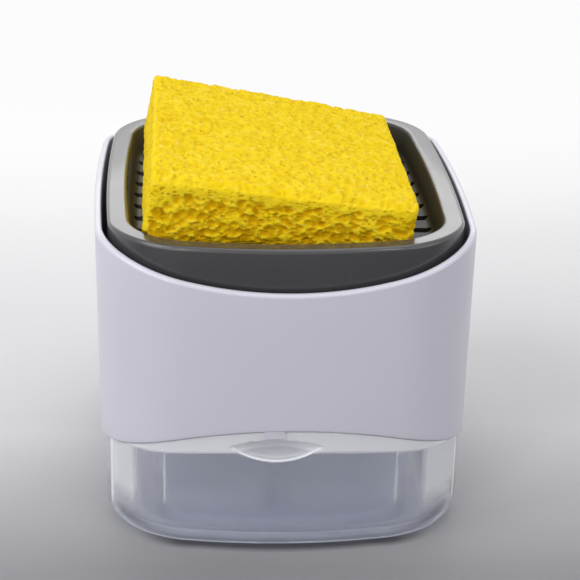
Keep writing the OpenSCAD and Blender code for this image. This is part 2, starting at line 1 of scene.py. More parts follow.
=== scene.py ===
"""Soap pump caddy: the looks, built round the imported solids.

Shapes are worked out in millimetres, in the frame's own axes (+Z up, the front faces -Y), and
turned into metres when a mesh is made.
"""
import json
import math

import bmesh
import bpy
import numpy as np
from mathutils import Matrix, Vector, kdtree, noise


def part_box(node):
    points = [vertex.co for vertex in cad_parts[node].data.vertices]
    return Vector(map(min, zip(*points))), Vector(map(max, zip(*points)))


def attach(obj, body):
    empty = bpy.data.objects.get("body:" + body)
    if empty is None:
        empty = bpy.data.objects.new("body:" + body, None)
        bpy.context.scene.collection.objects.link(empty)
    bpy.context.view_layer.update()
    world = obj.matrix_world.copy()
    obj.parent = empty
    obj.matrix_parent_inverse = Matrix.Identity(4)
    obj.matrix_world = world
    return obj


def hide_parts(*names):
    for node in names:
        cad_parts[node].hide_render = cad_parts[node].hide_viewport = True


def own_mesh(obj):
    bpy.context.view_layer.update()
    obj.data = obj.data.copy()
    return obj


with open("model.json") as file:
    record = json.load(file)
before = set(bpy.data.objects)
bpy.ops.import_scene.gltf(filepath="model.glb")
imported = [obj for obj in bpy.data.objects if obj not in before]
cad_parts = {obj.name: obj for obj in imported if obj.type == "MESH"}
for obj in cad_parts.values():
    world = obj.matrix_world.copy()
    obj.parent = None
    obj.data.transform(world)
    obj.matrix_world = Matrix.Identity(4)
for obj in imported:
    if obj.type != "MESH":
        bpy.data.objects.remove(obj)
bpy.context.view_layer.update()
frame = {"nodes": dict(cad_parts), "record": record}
MM = 0.001


def corners(node):
    """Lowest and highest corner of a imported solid, in millimetres."""
    low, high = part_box(node)
    return low / MM, high / MM


# Plan outline
sleeve_low, sleeve_high = corners("sleeve")
tank_top = corners("tank")[1].z
tray_low, tray_high = corners("tray")
sleeve_draft = math.tan(math.radians(1))
tank_draft = math.tan(math.radians(1.4))
corner_r = 28.5
side_bow = 1
end_bow = 2.3
side_top = sleeve_high.z
side_window = sleeve_low.z
top_dip = 9.3
window_arch = 11.7
front_top = side_top - top_dip
front_window = side_window + window_arch
body_w = 2 * sleeve_high.x
body_d = 2 * (sleeve_high.y + (side_top - front_top) * sleeve_draft)
corner_x = body_w / 2 - corner_r - side_bow
corner_y = body_d / 2 - corner_r - end_bow
side_locus_r = (corner_y**2 + side_bow**2) / (2 * side_bow)
end_locus_r = (corner_x**2 + end_bow**2) / (2 * end_bow)
side_half = math.asin(corner_y / side_locus_r)
end_half = math.asin(corner_x / end_locus_r)
side_centre = corner_x - side_locus_r * math.cos(side_half)
end_centre = corner_y - end_locus_r * math.cos(end_half)

# Walls and gaps
sleeve_wall = 2
tank_gap = 0.15
tank_wall = 2.2
foot_r = 5
foot_ring_w = 5
foot_recess = 0.8
floor_t = 2.2
tray_gap = 1.45
tray_wall = 2
rim_w = 5.9
rim_r = 1.2
rim_z = tray_high.z
well_depth = 8.5
well_foot_r = 2.2
wall_lean = 12
slot_inset = 1.6
slot_margin = 11.7
tray_skirt_h = 24
tray_skirt_z = rim_z - tray_skirt_h
collar_wall = 2.4
grip_out = 0.5


def sleeve_out(z):
    """Place of the sleeve's outer wall at a height, outwards from the outline."""
    return (z - side_top) * sleeve_draft


def sleeve_in(z):
    return sleeve_out(z) - sleeve_wall


def tank_out(z):
    return sleeve_in(side_window) - tank_gap - (tank_top - z) * tank_draft


def tank_in(z):
    return tank_out(z) - tank_wall


def tray_out(z):
    return sleeve_in(z) - tray_gap


rim_in = tray_out(rim_z) - rim_w
lean_sine = math.sin(math.radians(wall_lean))
lean_cosine = math.cos(math.radians(wall_lean))
well_z = rim_z - well_depth
steep_depth = well_depth - well_foot_r * (1 - lean_sine)
well_foot = rim_in + rim_r * (1 - lean_cosine)
well_foot -= (steep_depth - rim_r * (1 - lean_sine)) * lean_sine / lean_cosine
foot_turn_x = well_foot - well_foot_r * lean_cosine
foot_turn_z = well_z + well_foot_r
slot_end = rim_in - slot_inset


def outline_directions(side_steps=8, corner_steps=28, end_steps=10):
    """Normal directions of points all round the outline, from the right side's middle."""
    quarter = np.concatenate([
        np.linspace(0, side_half, side_steps, endpoint=False),
        np.linspace(side_half, math.pi / 2 - end_half, corner_steps, endpoint=False),
        np.linspace(math.pi / 2 - end_half, math.pi / 2, end_steps + 1),
    ])
    back = math.pi - quarter[-2:0:-1]
    half = np.concatenate([quarter, back])
    return np.concatenate([half, half + math.pi])


def outline(directions, out):
    """Points of the outline moved outwards by `out`, which is one number or one for each."""
    q = np.arctan2(np.abs(np.sin(directions)), np.abs(np.cos(directions)))
    on_side = q < side_half
    on_end = q > math.pi / 2 - end_half
    locus = np.where(on_side, side_locus_r, np.where(on_end, end_locus_r, 0))
    x0 = np.where(on_side, side_centre, np.where(on_end, 0, corner_x))
    y0 = np.where(on_side, 0, np.where(on_end, end_centre, corner_y))
    reach = locus + corner_r + out
    x = np.sign(np.round(np.cos(directions), 9)) * (x0 + reach * np.cos(q))
    y = np.sign(np.round(np.sin(directions), 9)) * (y0 + reach * np.sin(q))
    return x, y


def outward(x, y):
    """How far a point lies outwards from the outline."""
    x, y = np.abs(x), np.abs(y)
    side = np.arctan2(y, x - side_centre) < side_half
    end = np.arctan2(x, y - end_centre) < end_half
    on_side = np.hypot(x - side_centre, y) - side_locus_r
    on_end = np.hypot(x, y - end_centre) - end_locus_r
    on_corner = np.hypot(x - corner_x, y - corner_y)
    return np.where(side, on_side, np.where(end, on_end, on_corner)) - corner_r


def ring(directions, out, z):
    """One closed ring of points. Out and z are numbers or one for each direction."""
    x, y = outline(directions, out)
    return np.stack([x, y, np.broadcast_to(z, x.shape)], axis=1)


def bend(x, z, r, first, last, steps=8):
    """Points [out, z] of a profile's round stretch, between two directions in degrees."""
    turns = np.radians(np.linspace(first, last, steps + 1))
    return [(x + r * np.cos(t), z + r * np.sin(t)) for t in turns]


def arc_height(x, z_mid, z_side):
    """Height at x of an edge that is a long arc across the body."""
    sag = z_side - z_mid
    r = ((body_w / 2) ** 2 + sag**2) / (2 * abs(sag))
    return z_mid + math.copysign(1, sag) * (r - np.sqrt(r**2 - x**2))


# Meshes


def mesh_object(name, points, faces):
    """An object at the origin from points in millimetres."""
    mesh = bpy.data.meshes.new(name)
    mesh.from_pydata((np.asarray(points) * MM).tolist(), [], faces)
    piece = bpy.data.objects.new(name, mesh)
    bpy.context.scene.collection.objects.link(piece)
    return piece


def smooth(piece, angle=32):
    """Turns the faces outwards and shades them smooth, with sharp edges past an angle."""
    merged, sliver = 0.002, 0.001
    bm = bmesh.new()
    bm.from_mesh(piece.data)
    bmesh.ops.remove_doubles(bm, verts=bm.verts, dist=merged * MM)
    bmesh.ops.dissolve_degenerate(bm, edges=bm.edges, dist=sliver * MM)
    bmesh.ops.recalc_face_normals(bm, faces=bm.faces)
    limit = math.radians(angle)
    for edge in bm.edges:
        edge.smooth = not edge.is_manifold or edge.calc_face_angle(0) < limit
    for face in bm.faces:
        face.smooth = True
    bm.to_mesh(piece.data)
    bm.free()
    return piece


def loft(name, rings, band=False):
    """A skin over closed rings, capped at both ends, or joined when it is a band."""
    count = len(rings[0])
    levels = len(rings)
    faces = []
    for k in range(levels if band else levels - 1):
        low, high = k * count, (k + 1) % levels * count
        for i in range(count):
            j = (i + 1) % count
            faces.append((low + i, low + j, high + j, high + i))
    if not band:
        faces.append(tuple(reversed(range(count))))
        faces.append(tuple((levels - 1) * count + i for i in range(count)))
    return mesh_object(name, np.concatenate(rings), faces)


def turned(name, profile, steps=96):
    """A solid of revolution from a closed profile of [radius, height] points."""
    turns = np.linspace(0, 2 * math.pi, steps, endpoint=False)
    rings = [np.array([(r * math.cos(t), r * math.sin(t), z) for r, z in profile]) for t in turns]
    return loft(name, rings, band=True)


def baked(piece):
    """Replaces an object's mesh by what its modifiers make of it, and drops them."""
    evaluated = piece.evaluated_get(bpy.context.evaluated_depsgraph_get())
    mesh = bpy.data.meshes.new_from_object(evaluated)
    piece.modifiers.clear()
    piece.data = mesh
    return piece


def combine(piece, other, operation):
    """Boolean of a piece with another, which is used up."""
    cut = piece.modifiers.new("combine", "BOOLEAN")
    cut.operation = operation
    cut.solver = "EXACT"
    cut.object = other
    baked(piece)
    bpy.data.objects.remove(other)
    return piece


def prism(name, outline_points, low, high):
    """An upright prism on a plan outline."""
    plan = np.asarray(outline_points)
    rings = [np.column_stack([plan, np.full(len(plan), z)]) for z in (low, high)]
    return loft(name, rings)


def circle(r, x=0, y=0, steps=64):
    return [(x + r * math.cos(t), y + r * math.sin(t))
            for t in np.linspace(0, 2 * math.pi, steps, endpoint=False)]


def joined(name, parts):
    """One object from several that don't touch."""
    points, faces = [], []
    for part in parts:
        start = len(points)
        points += [v.co / MM for v in part.data.vertices]
        faces += [tuple(start + i for i in face.vertices) for face in part.data.polygons]
        bpy.data.objects.remove(part)
    return mesh_object(name, points, faces)


# Shader maths


def plug(tree, slot, value):
    """Links a value to a socket, or sets the socket to it."""
    if isinstance(value, Value):
        tree.links.new(value.socket, slot)
    else:
        slot.default_value = value


class Value:
    """A shader socket that takes arithmetic: an expression adds its Math nodes."""

    def __init__(self, tree, socket):
        self.tree = tree
        self.socket = socket

    def split(self, axis):
        """One axis of a vector."""
        node = self.tree.nodes.new("ShaderNodeSeparateXYZ")
        plug(self.tree, node.inputs[0], self)
        return Value(self.tree, node.outputs[axis])

    def other(self, output):
        """Another output of the same node."""
        return Value(self.tree, self.socket.node.outputs[output])

    def math(self, operation, *parts):
        node = self.tree.nodes.new("ShaderNodeMath")
        node.operation = operation
        for slot, part in zip(node.inputs, parts):
            plug(self.tree, slot, part)
        return Value(self.tree, node.outputs[0])

    def larger(self, other):
        return self.math("MAXIMUM", self, other)

    def __abs__(self):
        return self.math("ABSOLUTE", self)

    def __add__(self, other):
        return self.math("ADD", self, other)

    def __sub__(self, other):
        return self.math("SUBTRACT", self, other)

    def __rsub__(self, other):
        return self.math("SUBTRACT", other, self)

    def __mul__(self, other):
        return self.math("MULTIPLY", self, other)

    def __truediv__(self, other):
        return self.math("DIVIDE", self, other)

    def __pow__(self, other):
        return self.math("POWER", self, other)

    __radd__ = __add__
    __rmul__ = __mul__


class Finish:
    """One procedural material. `add` makes any node, `feed` drives one of the shader's sockets."""

    def __init__(self, name, **constants):
        self.material = bpy.data.materials.new(name)
        self.material.use_nodes = True
        self.tree = self.material.node_tree
        self.shader = self.tree.nodes["Principled BSDF"]
        for socket, value in constants.items():
            self.shader.inputs[socket.replace("_", " ")].default_value = value
        self.place = self.add("TexCoord", output="Object")

    def add(self, kind, settings=None, sockets=None, output=0):
        """A node of a kind, its settings first, then the values or links of its sockets."""
        node = self.tree.nodes.new("ShaderNode" + kind)
        for key, value in (settings or {}).items():
            setattr(node, key, value)
        for key, value in (sockets or {}).items():
            plug(self.tree, node.inputs[key], value)
        return Value(self.tree, node.outputs[output])

    def attribute(self, name):
        """A value that a piece's own mesh carries."""
        return self.add("Attribute", {"attribute_name": name}, output="Fac")

    def noise(self, scale, detail=2, roughness=0.5, place=None, output=0):
        place = place or self.place
        return self.add("TexNoise", None, {
            "Vector": place, "Scale": scale, "Detail": detail, "Roughness": roughness}, output)

    def vector(self, operation, *parts, output=0):
        """Vector Math of vectors or constants."""
        return self.add("VectorMath", {"operation": operation}, dict(enumerate(parts)), output)

    def outwards(self):
        """Distance outwards from the plan outline, in metres."""
        off = self.vector("ABSOLUTE", self.place)
        bow = 1 - self.band(off.split("X") / (corner_x * MM), 0, 1) ** 2
        corner = self.add("CombineXYZ", None, {
            "X": corner_x * MM, "Y": bow * (end_bow * MM) + corner_y * MM, "Z": 1})
        off = self.vector("MAXIMUM", self.vector("SUBTRACT", off, corner), (0, 0, 0))
        return self.vector("LENGTH", off, output="Value") - corner_r * MM

    def mix(self, mask, low, high):
        """Colour that goes from low to high with the mask."""
        node = self.tree.nodes.new("ShaderNodeMix")
        node.data_type = "RGBA"
        plug(self.tree, node.inputs[0], mask)
        plug(self.tree, node.inputs[6], low)
        plug(self.tree, node.inputs[7], high)
        return Value(self.tree, node.outputs[2])

    def band(self, value, low, high, to_low=0.0, to_high=1.0):
        """Maps a stretch of a value to another, held at its ends."""
        return self.add("MapRange", {"clamp": True}, {
            "Value": value, "From Min": low, "From Max": high, "To Min": to_low, "To Max": to_high})

    def feed(self, socket, value):
        plug(self.tree, self.shader.inputs[socket], value)

    def bump(self, height, distance, strength=1.0):
        """Small relief, its height in millimetres."""
        self.feed("Normal", self.add("Bump", None, {
            "Height": height, "Distance": distance * MM, "Strength": strength}))

    def blend(self, mask, other):
        """Lets another shader take over from the main one with the mask."""
        own = Value(self.tree, self.shader.outputs[0])
        both = self.add("MixShader", None, {0: mask, 1: own, 2: other})
        plug(self.tree, self.tree.nodes["Material Output"].inputs["Surface"], both)


def rgb(red, green, blue):
    return (red, green, blue, 1.0)


def seen_rays(tree):
    """1 for what the camera sees outright, in a reflection or through clear plastic."""
    path = tree.nodes.new("ShaderNodeLightPath")
    straight, mirrored, through = (
        Value(tree, path.outputs[f"Is {kind} Ray"]) for kind in ("Camera", "Glossy", "Transmission"))
    return straight + mirrored + through


def moulded_plastic(name, colour, shade, roughness, grain=0.012, coat=0.0, well=None):
    """Moulded plastic: faint flow shading, a fine skin in the bump and uneven gloss.

    A well is duller than the rest. Its tones are painted light: a painted olive reflection of the sponge
    on its left wall, painted shade on its right wall and painted light on the bars between its slots on
    the left.
    """
    uneven = 0.04
    finish = Finish(name, IOR=1.5, Coat_Weight=coat, Coat_Roughness=0.06)
    flow = finish.band(finish.noise(18, 2), 0.35, 0.65)
    tone = finish.mix(flow, shade, colour)
    gloss = finish.band(finish.noise(60, 3), 0.3, 0.7, roughness - uneven, roughness + uneven)
    if well:
        left, right, bars = well
        lip_high, lip_low, foot_low, foot_high, duller = 0.9, 0.3, 0.9, 1.7, 0.3
        bars_in, bars_out, middle = -0.03, -0.04, 0.02
        out = finish.outwards()
        across = finish.place.split("X")
        inside = finish.band(out, (rim_in + lip_high) * MM, (rim_in + lip_low) * MM)
        wall = inside * finish.band(out, (foot_turn_x + foot_low) * MM, (foot_turn_x + foot_high) * MM)
        # Painted light on the bars on the left, a painted olive reflection of the sponge on the left
        # wall and painted shade on the right wall
        tone = finish.mix(inside * finish.band(across, bars_in, bars_out), tone, bars)
        tone = finish.mix(wall, tone, finish.mix(finish.band(across, -middle, middle), left, right))
        gloss = inside * duller + gloss
        finish.feed("Coat Weight", finish.band(inside, 0, 1, coat, 0))
    finish.feed("Base Color", tone)
    finish.feed("Roughness", gloss)
    finish.bump(finish.noise(2600, 2, 0.6), grain)
    return finish.material


def clear_plastic():
    """Polished clear moulding: bluish in its thick floor, a faint tint of its own that is deepened there
    as painted shade, with painted white light and painted highlights where light bends in it.

    All places are in metres. Those that follow the view through the front, which the camera has
    from a little to the left, are measured from a middle that lies to the left as well.
    """
    view_shift = 1.8 * MM
    floor_low, floor_top = 0.0032, 0.006
    belt_low, belt_high, belt_arch = 0.0293, 0.0303, 1.4
    belt_painted_light, corner_painted_light, line_painted_highlight, edge_painted_highlight = 0.7, 0.46, 0.22, 0.7
    inner_line, outer_edge = 0.0316, 0.0479
    finish = Finish("clear_plastic", IOR=1.5, Transmission_Weight=0.92)

    def line(place, middle, half_out, half_in, white):
        """A thin painted highlight at a distance from the middle."""
        return finish.band(abs(place - middle), half_out, half_in, 0, white)

    wave = finish.noise(22, 1)
    shifted = finish.vector("ADD", finish.place, (view_shift, 0, 0))
    x = finish.vector("ABSOLUTE", shifted).split("X")
    y = x.other("Y")
    z = x.other("Z")
    flank = finish.vector("ABSOLUTE", finish.place).split("X")
    wall = finish.mix(wave, rgb(0.93, 0.945, 0.99), rgb(0.95, 0.96, 1.0))
    # The thick floor's tint is partly the plastic's own faint blue and partly painted shade
    tint_and_painted_shade = finish.mix(finish.band(z, floor_low, floor_top), rgb(0.68, 0.74, 1.0), wall)
    finish.feed("Base Color", tint_and_painted_shade)
    finish.feed("Alpha", finish.band(x, 0.036, 0.044, 0.38, 0.4))
    finish.feed("Roughness", finish.band(finish.noise(90, 2), 0.35, 0.65, 0.012, 0.035))
    finish.bump(wave, 0.06, 0.6)
    # Painted white light in a belt under the sleeve and low at the corners, and painted highlights in
    # thin lines and along the outer edges
    belt = finish.band(x * x * belt_arch + z, belt_low, belt_high, 0, belt_painted_light)
    corner = finish.band(x, 0.0384, 0.0406, 0, corner_painted_light) * finish.band(flank, 0.0486, 0.0478)
    corner = corner * finish.band(y, 0.034, 0.042) * finish.band(z, 0.006, 0.015)
    lines = line(x, inner_line, 0.0005, 0.0002, line_painted_highlight) * finish.band(z, 0.011, 0.014)
    edge = line(flank, outer_edge, 0.0006, 0.0002, edge_painted_highlight)
    lines = edge * finish.band(y, 0.03, 0.036) * finish.band(z, 0.003, 0.008) + lines
    # Painted white light inside the thumb scoop and a painted highlight along its edge
    scoop = finish.attribute("scoop")
    scoop_painted_light = finish.band(scoop, 0.9, 0.4, 0, 0.5) * finish.band(scoop, 0, 0.15)
    scoop_painted_light = finish.band(scoop, 0.05, 0.3, 0, 0.35) + scoop_painted_light
    # A pale rough shader that paints white light and highlights where these masks are
    painted_white_light = finish.add("BsdfPrincipled", None, {"Base Color": rgb(0.9, 0.91, 0.95), "Roughness": 0.3})
    finish.blend(belt.larger(corner.larger(lines.larger(scoop_painted_light))), painted_white_light)
    return finish.material


def soft_translucent(name, colour, shade, roughness, clearness):
    """Silicone and uncoloured plastic: part of the light goes through."""
    finish = Finish(name, IOR=1.42, Transmission_Weight=clearness)
    cloud = finish.noise(140, 3)
    finish.feed("Base Color", finish.mix(cloud, shade, colour))
    finish.feed("Roughness", finish.band(cloud, 0.3, 0.7, roughness - 0.05, roughness + 0.05))
    finish.bump(finish.noise(1800, 2), 0.015)
    return finish.material


def drawn_steel(name):
    """Bright spring wire and balls with fine drawing lines."""
    finish = Finish(name, Metallic=1.0)
    stretch = finish.add("Mapping", None, {"Vector": finish.place, "Scale": (1, 1, 9)})
    lines = finish.noise(900, 3, 0.6, stretch)
    finish.feed("Base Color", finish.mix(lines, rgb(0.52, 0.53, 0.55), rgb(0.74, 0.75, 0.77)))
    finish.feed("Roughness", finish.band(lines, 0.3, 0.7, 0.16, 0.3))
    finish.bump(lines, 0.006)
    return finish.material


def cellulose():
    """Yellow cellulose foam, with painted shade: its pits are painted darker and more orange, more so on
    its cut sides, and its pores darker the deeper they are.

    The mesh carries `pore`, the depth of its pores, and `side`, which is 1 on its cut sides.
    """
    finish = Finish("cellulose", IOR=1.35, Specular_IOR_Level=0.1)
    pore = finish.attribute("pore")
    side = finish.attribute("side")
    cloud = finish.band(finish.noise(150, 3, 0.6), 0.3, 0.7)
    fibre = finish.noise(1700, 4, 0.65)
    drift = finish.noise(420, 2, output="Color")
    warp = finish.vector("MULTIPLY_ADD", drift, (0.0016, 0.0018, 0.0011), finish.place)
    flat = finish.add("Mapping", None, {"Vector": warp, "Scale": (0.85, 0.55, 1.5)})
    pits = 0
    for scale, edge, rare in ((760, 0.46, 0.25), (400, 0.38, 0.45)):
        cells = finish.add("TexVoronoi", {"feature": "F1"}, {"Vector": flat, "Scale": scale}, "Distance")
        chance = finish.add("SeparateColor", None, {"Color": cells.other("Color")}, "Red")
        pits = finish.band(cells, edge, 0.1) * finish.band(chance, rare, 0.95) + pits
    pit = finish.band(pits, 0, 1) * finish.band(abs(side - 0.5), 0.15, 0.45, 0.25, 1)
    pale = finish.band(finish.noise(560, 2, 0.5, flat), 0.56, 0.72)
    skin = finish.mix(cloud, rgb(0.83, 0.587, 0.006), rgb(0.88, 0.657, 0.022))
    skin = finish.mix(pale * finish.band(side, 0, 1, 0.4, 0.2), skin, rgb(0.93, 0.73, 0.14))
    # Painted shade: pits darker and more orange, more on the cut sides, and pores darker with their
    # depth
    pit_painted_shade = finish.mix(side, rgb(0.62, 0.43, 0.006), rgb(0.62, 0.31, 0.002))
    pit_shaded_skin = finish.mix(pit * finish.band(side, 0, 1, 0.3, 0.7), skin, pit_painted_shade)
    pore_rim_shade = finish.band(pore, 0.08, 0.45) * finish.band(side, 0, 1, 0.45, 1)
    pore_rim_shaded = finish.mix(pore_rim_shade, pit_shaded_skin, rgb(0.70, 0.41, 0.002))
    deep = finish.mix(finish.band(pore, 0.45, 1.0), pore_rim_shaded, rgb(0.46, 0.215, 0.001))
    finish.feed("Base Color", deep)
    finish.feed("Roughness", finish.band(fibre, 0.3, 0.7, 0.78, 0.95))
    finish.bump(fibre * 0.3 - pit * 0.9, 0.5, 0.9)
    return finish.material


# Pieces


def across_body(directions):
    """How far each of the outline's points lies to the side, no further than the body is wide."""
    return np.clip(outline(directions, 0)[0], -body_w / 2, body_w / 2)


def make_sleeve():
    """Outer shell: its top edge dips and its bottom edge arches, front and back."""
    lip_r, inner_r, foot_edge_r, snap_r = 1.1, 0.6, 0.35, 0.8
    plug_h, lid_rim_h = 14.6, 5.5
    tab_x, tab_w, tab_h, tab_t, tab_inset = -3.9, 5.5, 2.2, 1.4, 0.3
    directions = outline_directions(end_steps=16)
    snap_z = corners("reservoir_lid")[0].z + plug_h + lid_rim_h - 2 * snap_r
    top = arc_height(across_body(directions), front_top, side_top)
    low = arc_height(across_body(directions), front_window, side_window)
    levels = [low + share * (top - lip_r - low) for share in (0.03, 0.25, 0.5, 0.75, 1)]
    profile = [(sleeve_out(z), z) for z in levels]
    profile += bend(sleeve_out(top) - lip_r, top - lip_r, lip_r, 0, 90)[1:]
    profile += bend(sleeve_in(top) + inner_r, top - inner_r, inner_r, 90, 180, 5)
    profile += bend(sleeve_in(snap_z), snap_z, snap_r, 90, 270, 8)
    profile += bend(sleeve_in(low) + foot_edge_r, low + foot_edge_r, foot_edge_r, 180, 270, 4)
    profile += bend(sleeve_out(low) - foot_edge_r, low + foot_edge_r, foot_edge_r, 270, 360, 4)
    shell = loft("sleeve_shell", [ring(directions, out, z) for out, z in profile], band=True)
    left, right = tab_x - tab_w / 2, tab_x + tab_w / 2
    front = -body_d / 2 - sleeve_out(front_window) + tab_inset
    back = front + tab_t
    plan = [(left, front), (right, front), (right, back), (left, back)]
    tab = prism("tab", plan, front_window - tab_h, front_window + tab_h)
    return smooth(combine(shell, tab, "UNION"))


def scoop_depth_at(x, z):
    """Depth of the thumb scoop at a place on the tank's front: a lens between two spheres."""
    aside, half, depth, below, drop, rise, soft = -3.4, 12.5, 5, 5.2, 4.2, 2.4, 0.15
    level = front_window - below
    stand_off = (half**2 - depth**2) / (2 * depth)
    ring_r = stand_off + depth
    found = []
    for sag, way in ((drop, 1), (rise, -1)):
        lift = (half**2 - sag**2) / (2 * sag)
        room = ring_r**2 + lift**2 - (x - aside) ** 2 - (z - level - way * lift) ** 2
        found.append(np.sqrt(np.maximum(room, 0)) - stand_off)
    reach = np.minimum(*found)
    return (reach + np.sqrt(reach**2 + soft**2)) / 2 - soft**2 / (4 * np.maximum(-reach, soft))


def make_tank():
    """Clear reservoir: rounded foot, standing ring, a ledge under the sleeve and a thumb scoop."""
    inset, edge_r, ledge_gap, ramp_over, ramp_under = 0.8, 0.4, 0.4, 1, 2
    scoop_under, scoop_over, close_from = 12, 1, 0.66
    directions = outline_directions(end_steps=44)
    ledge = arc_height(across_body(directions), front_window, side_window) - ledge_gap

    def belt(z):
        """The lower wall lies nearly flush with the sleeve."""
        return sleeve_out(side_window) - inset - (side_window - z) * tank_draft

    foot_x = belt(foot_r) - foot_r
    ring_x = foot_x - foot_ring_w
    inner_r = foot_r - tank_wall + foot_recess
    turn_z = foot_recess + floor_t + inner_r
    shares = np.concatenate([
        np.linspace(0, close_from, 9)[1:],
        np.linspace(close_from, 1, 26)[1:],
    ])
    outer = [foot_r + share * (ledge - edge_r - foot_r) for share in shares]
    inner = [turn_z + share * (ledge - ramp_under - turn_z) for share in shares[-2::-1]]
    profile = [(ring_x, foot_recess)]
    profile += bend(ring_x + edge_r, edge_r, edge_r, 180, 270, 4)
    profile += bend(foot_x, foot_r, foot_r, -90, 0, 14)
    profile += [(belt(z), z) for z in outer]
    profile += bend(belt(ledge) - edge_r, ledge - edge_r, edge_r, 0, 90, 4)[1:]
    profile += [(tank_out(ledge), ledge), (tank_out(tank_top - edge_r), tank_top - edge_r)]
    profile += bend(tank_out(tank_top) - edge_r, tank_top - edge_r, edge_r, 0, 90, 4)[1:]
    profile += bend(tank_in(tank_top) + edge_r, tank_top - edge_r, edge_r, 90, 180, 4)
    step = belt(ledge) - tank_out(ledge)
    for share in np.linspace(0, 1, 7):
        ease = share**2 * (3 - 2 * share)
        z = ledge + ramp_over - (ramp_over + ramp_under) * share
        profile.append((tank_in(ledge) + step * ease, z))
    profile += [(belt(z) - tank_wall, z) for z in inner]
    profile += bend(belt(turn_z) - tank_wall - inner_r, turn_z, inner_r, 0, -90, 12)
    rings = [ring(directions, out, z) for out, z in profile]
    depths = []
    for level in rings:
        x, y, z = level.T
        front = (y < -corner_y) & (np.abs(x) < corner_x)
        front &= (z > front_window - scoop_under) & (z < front_window + scoop_over)
        depth = np.where(front, np.maximum(scoop_depth_at(x, z), 0), 0)
        level[:, 1] += depth
        depths.append(depth)
    tank = loft("tank_shell", rings)
    scoop = tank.data.attributes.new("scoop", "FLOAT", "POINT")
    scoop.data.foreach_set("value", np.concatenate(depths).astype(np.float32))
    return smooth(tank, 40)


def make_tank_seal():
    """Silicone ring between tank and lid, with rounded edges."""
    directions = outline_directions()
    low, high = tank_top, corners("tank_seal")[1].z
    r = (high - low) / 2
    profile = bend(tank_out(tank_top) - r, low + r, r, -90, 90)
    profile += bend(tank_in(tank_top) + r, low + r, r, 90, 270)
    return smooth(loft("tank_seal_ring", [ring(directions, out, z) for out, z in profile], band=True))


def rounded_bar(x0, x1, y, r, steps=10):
    """Plan outline of a bar with round ends."""
    quarter = math.pi / 2
    points = []
    for x, first in ((x1 - r, -quarter), (x0 + r, quarter)):
        turns = np.linspace(first, first + math.pi, steps)
        points += [(x + r * math.cos(t), y + r * math.sin(t)) for t in turns]
    return points


def side_reach(y, out):
    """Half width of the outline at a distance y from the middle."""
    y = abs(y)
    if y > corner_y:
        return corner_x + math.sqrt((corner_r + out) ** 2 - (y - corner_y) ** 2)
    return side_centre + math.sqrt((side_locus_r + corner_r + out) ** 2 - y**2)


def make_tray():
    """Press tray: rounded rim, long skirt, a dished well with rows of slots, hub and guides."""
    skirt_edge_r, skirt_levels = 0.4, (70, 76, 81)
    hub_r, cap_hole_r, guide_r, guide_y = 9.95, 7.95, 4, 38
    half, rows, band_half, web_w = 1.9, 10, 16, 3
    directions = outline_directions(side_steps=10, corner_steps=36, end_steps=14)
    skirt_in = tray_out(rim_z) - tray_wall
    under_z = rim_z - (rim_r + tray_wall)
    skirt_edge_x = tray_out(tray_skirt_z) - skirt_edge_r
    profile = bend(foot_turn_x, foot_turn_z, well_foot_r + tray_wall, -90, -wall_lean, 10)
    profile += [(rim_in + tray_wall, under_z), (skirt_in, under_z)]
    profile += [(tray_out(tray_skirt_z) - tray_wall, tray_skirt_z)]
    profile += bend(skirt_edge_x, tray_skirt_z + skirt_edge_r, skirt_edge_r, -90, 0, 3)
    profile += [(tray_out(z), z) for z in skirt_levels]
    profile += bend(tray_out(rim_z) - rim_r, rim_z - rim_r, rim_r, 0, 90, 10)
    profile += bend(rim_in + rim_r, rim_z - rim_r, rim_r, 90, 180 - wall_lean, 9)
    profile += bend(foot_turn_x, foot_turn_z, well_foot_r, -wall_lean, -90, 16)
    tray = loft("tray_shell", [ring(directions, out, z) for out, z in profile])
    hub_low = corners("nozzle_cap")[0].z
    bosses = (
        (circle(hub_r), hub_low),
        (circle(guide_r, y=guide_y), tray_low.z),
        (circle(guide_r, y=-guide_y), tray_low.z),
    )
    for plan, low in bosses:
        combine(tray, prism("boss", plan, low, well_z - tray_wall / 2), "UNION")
    pitch = (body_d + 2 * (slot_end - slot_margin)) / (rows - 1)
    slot_low = well_z - 2 * tray_wall
    slot_top = rim_z - steep_depth
    bars = []
    for row in range(rows):
        y = (row - (rows - 1) / 2) * pitch
        tip = side_reach(abs(y) + half, slot_end)
        web = (band_half + tip) / 2
        for x0, x1 in ((band_half, web - web_w / 2), (web + web_w / 2, tip)):
            right = rounded_bar(x0, x1, y, half)
            left = [(-x, v) for x, v in reversed(right)]
            bars += [prism("slot", plan, slot_low, slot_top) for plan in (right, left)]
    combine(tray, joined("slots", bars), "DIFFERENCE")
    combine(tray, prism("cap_hole", circle(cap_hole_r, steps=96), hub_low - 1, rim_z), "DIFFERENCE")
    return smooth(tray, 35)


def well_height(x, y):
    """Height of the tray's well at a place."""
    out = outward(x, y)
    inside = np.clip(out - foot_turn_x, 0, well_foot_r * lean_cosine)
    foot = foot_turn_z - np.sqrt(well_foot_r**2 - inside**2)
    wall = np.clip(out - well_foot, 0, None) * lean_cosine / lean_sine
    return np.minimum(foot + wall, rim_z)


def box_shell(counts):
    """Lattice points on the faces of a box, in shares from -1 to 1, and their quads."""
    index = {}
    points, faces = [], []

    def corner(key):
        if key not in index:
            index[key] = len(points)
            points.append([2 * k / n - 1 for k, n in zip(key, counts)])
        return index[key]

    for axis in range(3):
        a, b = (axis + 1) % 3, (axis + 2) % 3
        for side in (0, counts[axis]):
            for i in range(counts[a]):
                for j in range(counts[b]):
                    quad = []
                    for di, dj in ((0, 0), (1, 0), (1, 1), (0, 1)):
                        key = [0, 0, 0]
                        key[axis], key[a], key[b] = side, i + di, j + dj
                        quad.append(corner(tuple(key)))
                    faces.append(tuple(quad if side else reversed(quad)))
    return np.array(points), faces


